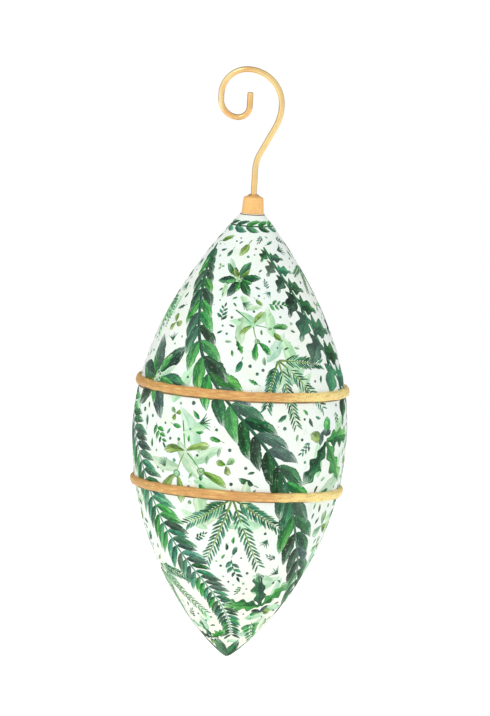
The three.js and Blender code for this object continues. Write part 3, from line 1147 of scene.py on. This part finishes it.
class Shading(Nodes):
    """A material's nodes, with a colour that is built up tone over tone."""

    def __init__(self, name):
        self.material = bpy.data.materials.new(name)
        super().__init__(self.material)
        self.surface = self.tree.nodes["Principled BSDF"]

    def over(self, tone, share):
        """Lays a share of a tone over the colour so far."""
        self.colour = self.mix(share, self.colour, tone)

    def lay(self, tone, value, low, high, most=1.0):
        """Lays a tone over the colour so far, more of it as a value rises between two levels."""
        self.over(tone, self.rise(value, low, high, 0.0, most))

    def object_place(self, *stretch):
        """The place on the object, stretched."""
        return self.coordinates("Object", stretch or (1, 1, 1))

    def stroke_place(self, along_scale, across_scale):
        """The place on a brush stroke, which is a new one for each stroke."""
        made = self.node("ShaderNodeCombineXYZ")
        scales = (("along", along_scale), ("across", across_scale), ("seed", SEED_SCALE))
        for socket, (name, scale) in zip(made.inputs, scales):
            self.feed(socket, self.product(self.attribute(name), scale))
        return made.outputs[0]

    def noise(self, vector, scale, detail=3.0, roughness=0.55):
        made = self.node("ShaderNodeTexNoise")
        settings = {"Vector": vector, "Scale": scale, "Detail": detail, "Roughness": roughness}
        for name, value in settings.items():
            self.feed(made.inputs[name], value)
        return made.outputs["Fac"]

    def specks(self, scale, size, share, most):
        """Round specks in some of the cells of a scatter."""
        made = self.node("ShaderNodeTexVoronoi")
        self.feed(made.inputs["Vector"], self.object_place())
        made.inputs["Scale"].default_value = scale
        inside = self.rise(made.outputs["Distance"], size * 0.6, size, most, 0.0)
        chance = self.node("ShaderNodeSeparateColor")
        self.feed(chance.inputs[0], made.outputs["Color"])
        return self.product(inside, self.math("LESS_THAN", chance.outputs[0], share))

    def attribute(self, name, output="Fac"):
        return self.node("ShaderNodeAttribute", attribute_name=name).outputs[output]

    def tones(self):
        return [self.attribute(tone, "Color") for tone in TONES]

    def bump(self, height, strength, distance):
        made = self.node("ShaderNodeBump")
        made.inputs["Strength"].default_value = strength
        made.inputs["Distance"].default_value = distance
        self.feed(made.inputs["Height"], height)
        self.feed(self.surface.inputs["Normal"], made.outputs[0])

    def finish(self, **values):
        """The material, with the colour so far and other values of its surface."""
        self.feed(self.surface.inputs["Base Color"], self.colour)
        for name, value in values.items():
            self.feed(self.surface.inputs[name.replace("_", " ")], value)
        return self.material


BARE = (231, 240, 235)
BARE_WARMER = (236, 242, 234)
PAINT_SHEEN = 0.2  # of the usual level, as gouache is matt
CREAM_TOP = SEAT_Z - 0.7 * BODY_LENGTH  # where the white turns creamier, down to the tip
CREAM_BOTTOM = SEAT_Z - BODY_LENGTH


def painted_ground():
    """White gesso on the moulded body: a fine tooth, brush marks, faint green washes and paint specks."""
    shade = Shading("painted_ground")
    here = shade.object_place()
    tooth = shade.noise(here, 2600, 4, 0.6)
    brushed = shade.noise(shade.object_place(1, 1, 0.25), 420)
    shade.colour = BARE
    shade.lay(BARE_WARMER, shade.noise(here, 38), 0.35, 0.65)
    shade.lay((226, 240, 214), shade.noise(here, 70, 4, 0.6), 0.52, 0.68, 0.6)
    shade.lay((246, 242, 222), shade.part_of(here, "Z"), CREAM_TOP, CREAM_BOTTOM, 0.7)
    shade.lay((206, 226, 206), shade.noise(here, 190, 4, 0.6), 0.58, 0.7, 0.5)
    shade.lay((222, 226, 214), tooth, 0.56, 0.72, 0.3)
    shade.over((96, 130, 104), shade.specks(420, 0.13, 0.22, 0.6))
    shade.over((140, 160, 136), shade.specks(900, 0.16, 0.12, 0.5))
    shade.bump(shade.scaled(tooth, 0.6, brushed), 0.35, 0.00006)
    return shade.finish(Roughness=shade.rise(brushed, 0.3, 0.7, 0.5, 0.66))


def leaf_paint():
    """Brushed colour that runs from dark to light along and across each stroke, in bristle streaks, with
    pooled edges, drawn veins and bare ground showing where the brush ran dry."""
    shade = Shading("leaf_paint")
    dark, mid, light = shade.tones()
    along, across, veins = (shade.attribute(name) for name in ("along", "across", "veins"))
    far = shade.math("ABSOLUTE", across)
    bristles = shade.noise(shade.stroke_place(1.8, 5.0), 2.4, 3, 0.6)
    pooled = shade.noise(shade.stroke_place(2.6, 1.2), 1.4)
    ragged = shade.noise(shade.stroke_place(5.0, 2.0), 2.6, 4, 0.7)
    grain = shade.noise(shade.object_place(), 1500, 4, 0.65)

    lit_side = shade.rise(shade.scaled(pooled, 0.9, across), 0.25, 0.75, 0.0, 0.36)
    tone = shade.scaled(along, 0.42, shade.math("ADD", pooled, lit_side))
    tone = shade.scaled(bristles, 0.8, tone)
    shade.colour = dark
    shade.lay(mid, tone, 0.98, 1.33)
    shade.lay(light, tone, 1.38, 1.83)
    shade.lay(light, bristles, 0.6, 0.72, 0.55)

    midrib = shade.rise(far, 0.04, 0.12, 1.0, 0.0)
    slant = shade.math("FRACT", shade.scaled(far, -1.6, shade.product(along, 8.0)))
    side_veins = shade.rise(shade.distance(slant, 0.5), 0.04, 0.12, 0.6, 0.0)
    drawn = shade.math("MAXIMUM", midrib, side_veins)
    shade.over(dark, shade.product(drawn, shade.product(veins, 0.6)))
    shade.lay(dark, shade.scaled(ragged, 0.5, far), 0.9, 1.15, 0.75)

    dry_tail = shade.rise(shade.scaled(bristles, 1.7, along), 1.72, 1.9, 0.0, 0.8)
    broken = shade.rise(shade.scaled(ragged, 1.1, far), 1.5, 1.56)
    thin = shade.rise(grain, 0.58, 0.74, 0.0, 0.35)
    shade.over(BARE, shade.math("MAXIMUM", dry_tail, shade.math("MAXIMUM", broken, thin)))
    shade.bump(shade.scaled(grain, 0.4, bristles), 0.3, 0.00004)
    roughness = shade.rise(bristles, 0.3, 0.7, 0.5, 0.66)
    return shade.finish(Roughness=roughness, Specular_IOR_Level=PAINT_SHEEN)


def berry_paint():
    """Round dabs of thicker paint: a pooled rim, and a paler crescent where the brush lifted."""
    shade = Shading("berry_paint")
    dark, mid, light = shade.tones()
    across = shade.attribute("across")
    blot = shade.noise(shade.stroke_place(2.0, 1.5), 1.6)
    grain = shade.noise(shade.object_place(), 1300, 4, 0.65)
    shade.colour = dark
    shade.lay(mid, blot, 0.36, 0.6)
    crescent = shade.rise(shade.distance(across, 0.45), 0.1, 0.26, 0.75, 0.0)
    shade.over(light, shade.product(crescent, shade.rise(blot, 0.45, 0.58)))
    shade.lay(dark, across, 0.6, 0.9, 0.8)
    shade.lay(BARE, grain, 0.6, 0.75, 0.3)
    shade.bump(grain, 0.25, 0.00004)
    roughness = shade.rise(grain, 0.3, 0.7, 0.4, 0.55)
    return shade.finish(Roughness=roughness, Specular_IOR_Level=PAINT_SHEEN)


def gilt(name, tones, turns, darker_tone, brush, marked, speckle, metallic, gloss, relief):
    """Gold paint that drifts through three tones from left to right, at two turns: the drift is painted
    light, darker where the thing is in shade and paler where the light falls on it as a painted highlight. It
    has brush marks, some in its palest tone, and a fine grain in a darker tone. The brush is how far its
    marks are stretched each way."""
    shade = Shading(name)
    here = shade.object_place()
    marks = shade.noise(shade.object_place(*brush), 300)
    grain = shade.noise(here, 2400, 3, 0.6)
    drift = shade.scaled(shade.noise(here, 60, 2, 0.5), 0.03, shade.part_of(here, "X"))
    shade.colour = tones[0]
    shade.lay(tones[1], drift, *turns[0])
    shade.lay(tones[2], drift, *turns[1])
    shade.lay(tones[2], marks, 0.46, 0.3, marked)
    shade.lay(darker_tone, marks, 0.48, 0.7, marked)
    shade.lay(darker_tone, grain, 0.52, 0.72, speckle)
    shade.bump(shade.scaled(grain, speckle, marks), relief, 0.00004)
    return shade.finish(Metallic=metallic, Roughness=shade.rise(marks, 0.3, 0.7, *gloss))


def card_fibre():
    """Pressed grey card with short fibres."""
    shade = Shading("card_fibre")
    fibres = shade.noise(shade.object_place(1, 1, 5), 900, 4, 0.7)
    shade.colour = (150, 134, 106)
    shade.lay((198, 184, 156), fibres, 0.35, 0.68)
    shade.lay((126, 112, 90), shade.noise(shade.object_place(), 160), 0.5, 0.7, 0.4)
    shade.bump(fibres, 0.4, 0.00008)
    return shade.finish(Roughness=0.9)


def drawn_steel():
    """Plain steel with turning marks round it."""
    shade = Shading("drawn_steel")
    marks = shade.noise(shade.object_place(1, 1, 20), 700, 3, 0.6)
    shade.colour = (150, 152, 156)
    shade.lay((206, 208, 210), marks, 0.35, 0.65)
    shade.bump(marks, 0.25, 0.00003)
    return shade.finish(Metallic=1.0, Roughness=shade.rise(marks, 0.3, 0.7, 0.28, 0.46))


def pale_floor():
    """A flat, seamless white floor, lit from under as a light table is."""
    shade = Shading("pale_floor")
    shade.colour = (252, 252, 251)
    shade.over((248, 248, 247), shade.noise(shade.object_place(), 3, 2))
    return shade.finish(Roughness=0.9, Emission_Color=(255, 255, 255), Emission_Strength=FLOOR_GLOW)


# The object

GROUND = painted_ground()
SHELLS = {"upper_shell": upper_shell(), "belly_shell": belly_shell(), "lower_shell": lower_shell()}
for node, mesh in SHELLS.items():
    add_piece(mesh, GROUND, replaces=(node,))

paint_foliage()
LEAF_PAINT = leaf_paint()
for layer in (washes, stems, leaves):
    layer.add_pieces(LEAF_PAINT)
berries.add_pieces(berry_paint())

BODY_GILT_LIGHT_TURNS = ((-0.015, 0.022), (0.027, 0.050))  # where the gold drifts from tone to tone: on the bands and cap, painted shade on the left and a painted highlight on the right
# On the hook and eyelet: a pale yellow painted highlight on the left of the loop, where the light from the
# front left falls, orange at the crest, and a paler gold to the right.
HOOK_GILT_LIGHT_TURNS = ((0.008, 0.013), (0.0145, 0.0185))
BAND_GILT = gilt(
    "band_gilt", ((210, 161, 92), (214, 160, 94), (250, 226, 146)), BODY_GILT_LIGHT_TURNS, (150, 104, 54),
    brush=(1, 1, 7), marked=0.45, speckle=0.55, metallic=0.2, gloss=(0.42, 0.56), relief=0.35,
)
CAP_GILT = gilt(
    "cap_gilt", ((240, 184, 110), (244, 194, 122), (248, 206, 138)), BODY_GILT_LIGHT_TURNS, (200, 146, 84),
    brush=(1, 1, 0.6), marked=0.2, speckle=0.4, metallic=0.2, gloss=(0.5, 0.6), relief=0.2,
)
WIRE_GILT = gilt(
    "wire_gilt", ((246, 220, 159), (233, 186, 122), (237, 207, 144)), HOOK_GILT_LIGHT_TURNS, (214, 164, 102),
    brush=(1, 1, 1), marked=0.2, speckle=0.1, metallic=0.9, gloss=(0.2, 0.28), relief=0.02,
)
for band, joint in (("upper_band", UPPER_JOINT), ("lower_band", LOWER_JOINT)):
    add_piece(joint_band("gilt_" + band, joint), BAND_GILT, replaces=(band,))
add_piece(cap_mesh(), CAP_GILT, replaces=("cap",))
add_piece(eyelet_mesh(), WIRE_GILT, replaces=("stem_eyelet",))
add_piece(hook_mesh(), WIRE_GILT, "hook", ("hook",))

INNER_PIECES = (
    (card_fibre(), ("neck", "upper_sleeve", "lower_sleeve")),
    (drawn_steel(), ("stem_washer", "stem_stop")),
)
for finish, nodes in INNER_PIECES:
    for node in nodes:
        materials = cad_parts[node].data.materials
        materials.clear()
        materials.append(finish)

# The floor, the light and the camera

FLOOR_DROP = 0.045  # below the tip
FLOOR_RADIUS = 1.2
FLOOR_SIDES = 64
FLOOR_GLOW = 0.42


def floor():
    mesh = bpy.data.meshes.new("floor")
    points = [(FLOOR_RADIUS * math.cos(a), FLOOR_RADIUS * math.sin(a), 0) for a in around(FLOOR_SIDES)]
    mesh.from_pydata(points, [], [list(range(len(points)))])
    mesh.materials.append(pale_floor())
    piece = in_scene("floor", mesh)
    piece.location.z = SEAT_Z - BODY_LENGTH - FLOOR_DROP


def sun(name, azimuth, elevation, strength, softness):
    """A distant soft light, by where it shines from: azimuth 0 is the camera's side, and 90 the right."""
    data = bpy.data.lights.new(name, "SUN")
    data.energy, data.angle = strength, math.radians(softness)
    a, e = math.radians(azimuth), math.radians(elevation)
    source = Vector((math.sin(a) * math.cos(e), -math.cos(a) * math.cos(e), math.sin(e)))
    in_scene(name, data).rotation_euler = source.to_track_quat("Z", "Y").to_euler()


# The surround's light from behind, and where it changes on the way round by the left, in turns, and by how
# much: it is brightest from the front left, and even on the right.
LIGHT_BEHIND = 0.35
LIGHT_CHANGES = ((0.16, 0.25, 0.80), (0.42, 0.50, -0.20), (0.80, 0.88, -0.60))


def studio():
    """A white surround: plain white where it is seen, and a soft light from its own places."""
    surround = bpy.data.worlds.new("studio")
    bpy.context.scene.world = surround
    light = Nodes(surround)
    background = light.tree.nodes["Background"]
    light.feed(background.inputs["Color"], (255, 255, 255))
    bearing = light.node("ShaderNodeTexGradient", gradient_type="RADIAL")
    light.feed(bearing.inputs["Vector"], light.coordinates("Generated", turn=math.pi / 2))
    lighting = LIGHT_BEHIND
    for start, end, change in LIGHT_CHANGES:
        lighting = light.math("ADD", light.rise(bearing.outputs["Fac"], start, end, 0.0, change), lighting)
    seen = light.node("ShaderNodeLightPath").outputs["Is Camera Ray"]
    lighting = light.product(lighting, light.math("SUBTRACT", 1.0, seen))
    light.feed(background.inputs["Strength"], light.math("ADD", lighting, seen))


# The photograph's frame and where the body's two ends are in it, in its pixels from the top left.
FRAME_PIXELS = (490, 716)
CAP_FOOT_PIXEL = (252.6, 213)
TIP_PIXEL = (226.4, 657.5)
CAMERA_ELEVATION = math.radians(6.2)
CAMERA_DISTANCE = 5.0
SENSOR = 36.0


def camera():
    """A long lens, level with the body, turned so that the body's axis leans as it hangs in the picture."""
    rise = Vector((CAP_FOOT_PIXEL[0] - TIP_PIXEL[0], TIP_PIXEL[1] - CAP_FOOT_PIXEL[1]))
    pixel = BODY_LENGTH * math.cos(CAMERA_ELEVATION) / rise.length
    turn = (
        Matrix.Rotation(math.pi / 2 - CAMERA_ELEVATION, 4, "X")
        @ Matrix.Rotation(math.atan2(rise.x, rise.y), 4, "Z")
    )
    right = pixel * (FRAME_PIXELS[0] / 2 - CAP_FOOT_PIXEL[0])
    up = pixel * (CAP_FOOT_PIXEL[1] - FRAME_PIXELS[1] / 2)
    data = bpy.data.cameras.new("camera")
    data.sensor_fit, data.sensor_height = "VERTICAL", SENSOR
    data.lens = SENSOR * CAMERA_DISTANCE / (FRAME_PIXELS[1] * pixel)
    data.clip_end = 10 * CAMERA_DISTANCE
    made = in_scene("camera", data)
    cap_foot = Matrix.Translation((AXIS_X, 0, SEAT_Z))
    made.matrix_world = cap_foot @ turn @ Matrix.Translation((right, up, CAMERA_DISTANCE))
    bpy.context.scene.camera = made


floor()
studio()
sun("key", azimuth=-20, elevation=38, strength=0.3, softness=16)
camera()
bpy.context.scene.view_settings.view_transform = "Standard"
